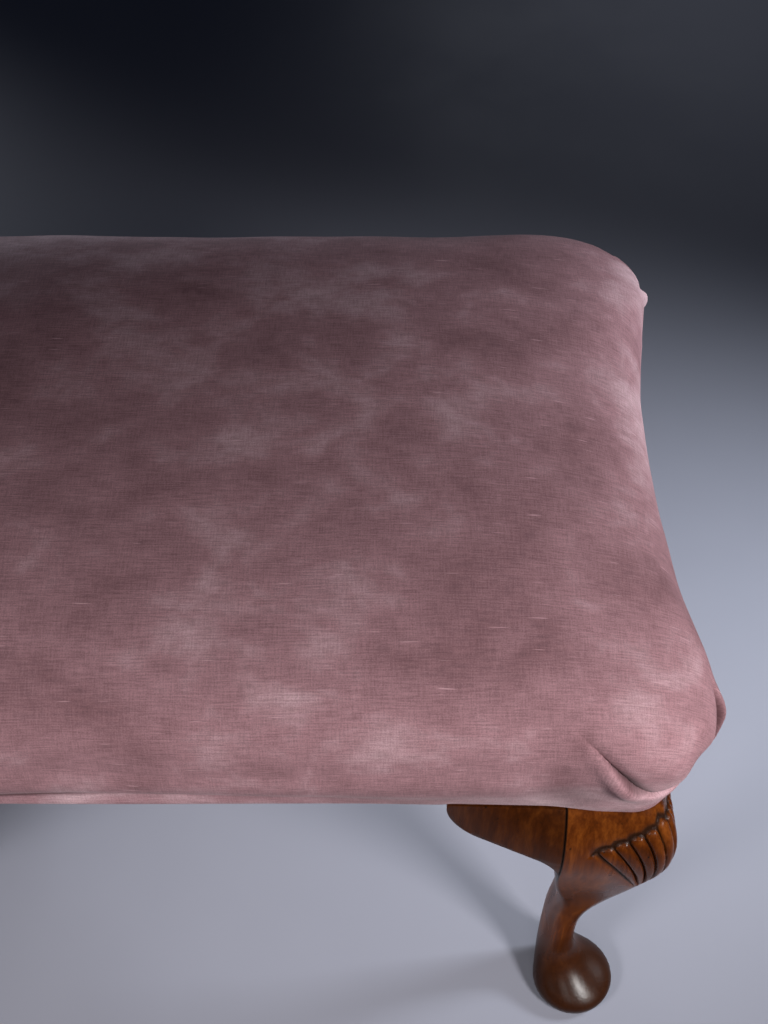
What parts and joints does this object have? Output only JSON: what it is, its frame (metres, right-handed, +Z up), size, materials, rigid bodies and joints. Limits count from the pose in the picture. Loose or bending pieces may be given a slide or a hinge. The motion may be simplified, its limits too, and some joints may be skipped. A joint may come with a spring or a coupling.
{
  "type": "vanity stool",
  "caption": "Rectangular over-stuffed velvet stool on walnut cabriole legs with shell-carved knees, ear brackets and pad feet, built on a webbed rail frame.",
  "frame": {"origin": "on the floor, under the middle of the seat", "axes": "+X along the stool's length to the sitter's right, +Y to the back, +Z up"},
  "size_m": [0.7276, 0.4672, 0.4665],
  "materials": {
    "walnut": "polished walnut",
    "beech": "planed beech",
    "screw_steel": "bright steel",
    "tack_steel": "blued steel",
    "webbing": "woven jute",
    "hessian": "coarse jute cloth",
    "stuffing": "curled hair",
    "wadding": "cotton wadding",
    "velvet": "dusty rose velvet",
    "dust_cloth": "black lining cloth"
  },
  "bodies": {
    "root": {"corner_block_back_left": "beech", "corner_block_back_right": "beech", "corner_block_front_left": "beech", "corner_block_front_right": "beech", "corner_block_screws": "screw_steel", "cover_tacks": "tack_steel", "dust_cover": "dust_cloth", "dust_cover_tacks": "tack_steel", "ear_end_back_left": "walnut", "ear_end_back_right": "walnut", "ear_end_front_left": "walnut", "ear_end_front_right": "walnut", "ear_long_back_left": "walnut", "ear_long_back_right": "walnut", "ear_long_front_left": "walnut", "ear_long_front_right": "walnut", "ear_screws": "screw_steel", "hessian": "hessian", "leg_back_left": "walnut", "leg_back_right": "walnut", "leg_front_left": "walnut", "leg_front_right": "walnut", "rail_back": "beech", "rail_dowels": "beech", "rail_front": "beech", "rail_left": "beech", "rail_right": "beech", "stuffing": "stuffing", "velvet_cover": "velvet", "wadding": "wadding", "web_cross_1": "webbing", "web_cross_2": "webbing", "web_cross_3": "webbing", "web_cross_4": "webbing", "web_cross_5": "webbing", "web_cross_6": "webbing", "web_long_1": "webbing", "web_long_2": "webbing", "web_long_3": "webbing", "web_long_4": "webbing", "webbing_tacks": "tack_steel"}
  },
  "joints": []
}
